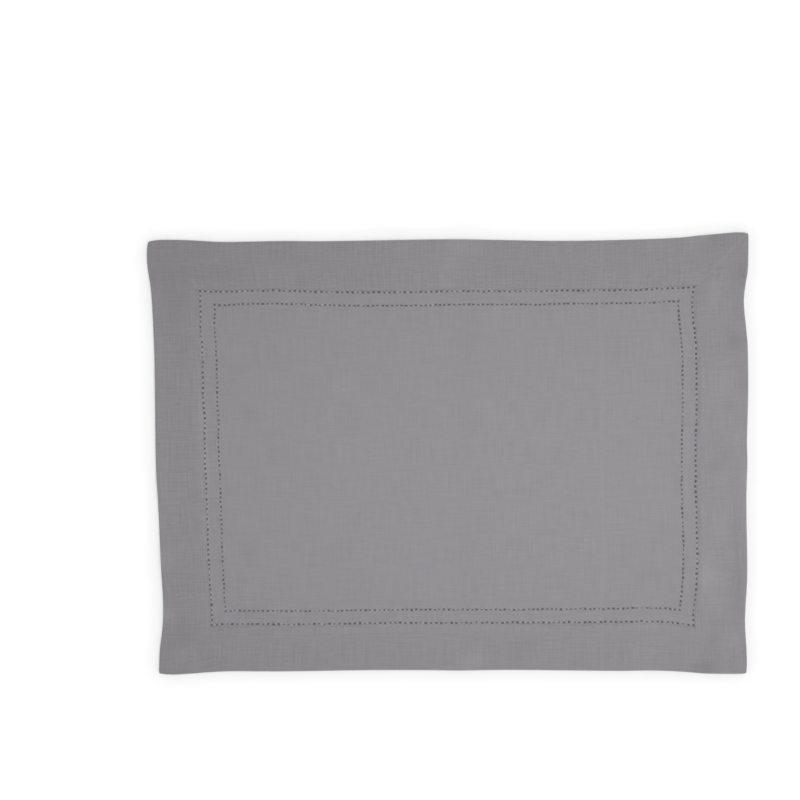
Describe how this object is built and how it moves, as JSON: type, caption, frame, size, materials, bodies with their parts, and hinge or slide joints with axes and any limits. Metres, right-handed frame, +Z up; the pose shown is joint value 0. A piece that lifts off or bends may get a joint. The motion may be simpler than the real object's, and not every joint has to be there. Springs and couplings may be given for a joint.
{
  "type": "fabric placemat",
  "caption": "Rectangular linen placemat lying flat, with a wide mitred hem and uneven, slightly drawn-in sides.",
  "frame": {"origin": "on the surface that the placemat lies on, under the middle of its box", "axes": "+X along the long side, to the right as seen from above with the upper side away; +Y across it, to the upper long side; +Z up, out of the face that shows"},
  "size_m": [0.4909, 0.3609, 0.0022],
  "materials": {
    "linen": "matt plain-woven linen, mid grey, piece-dyed"
  },
  "bodies": {
    "root": {"placemat": "linen"}
  },
  "joints": []
}
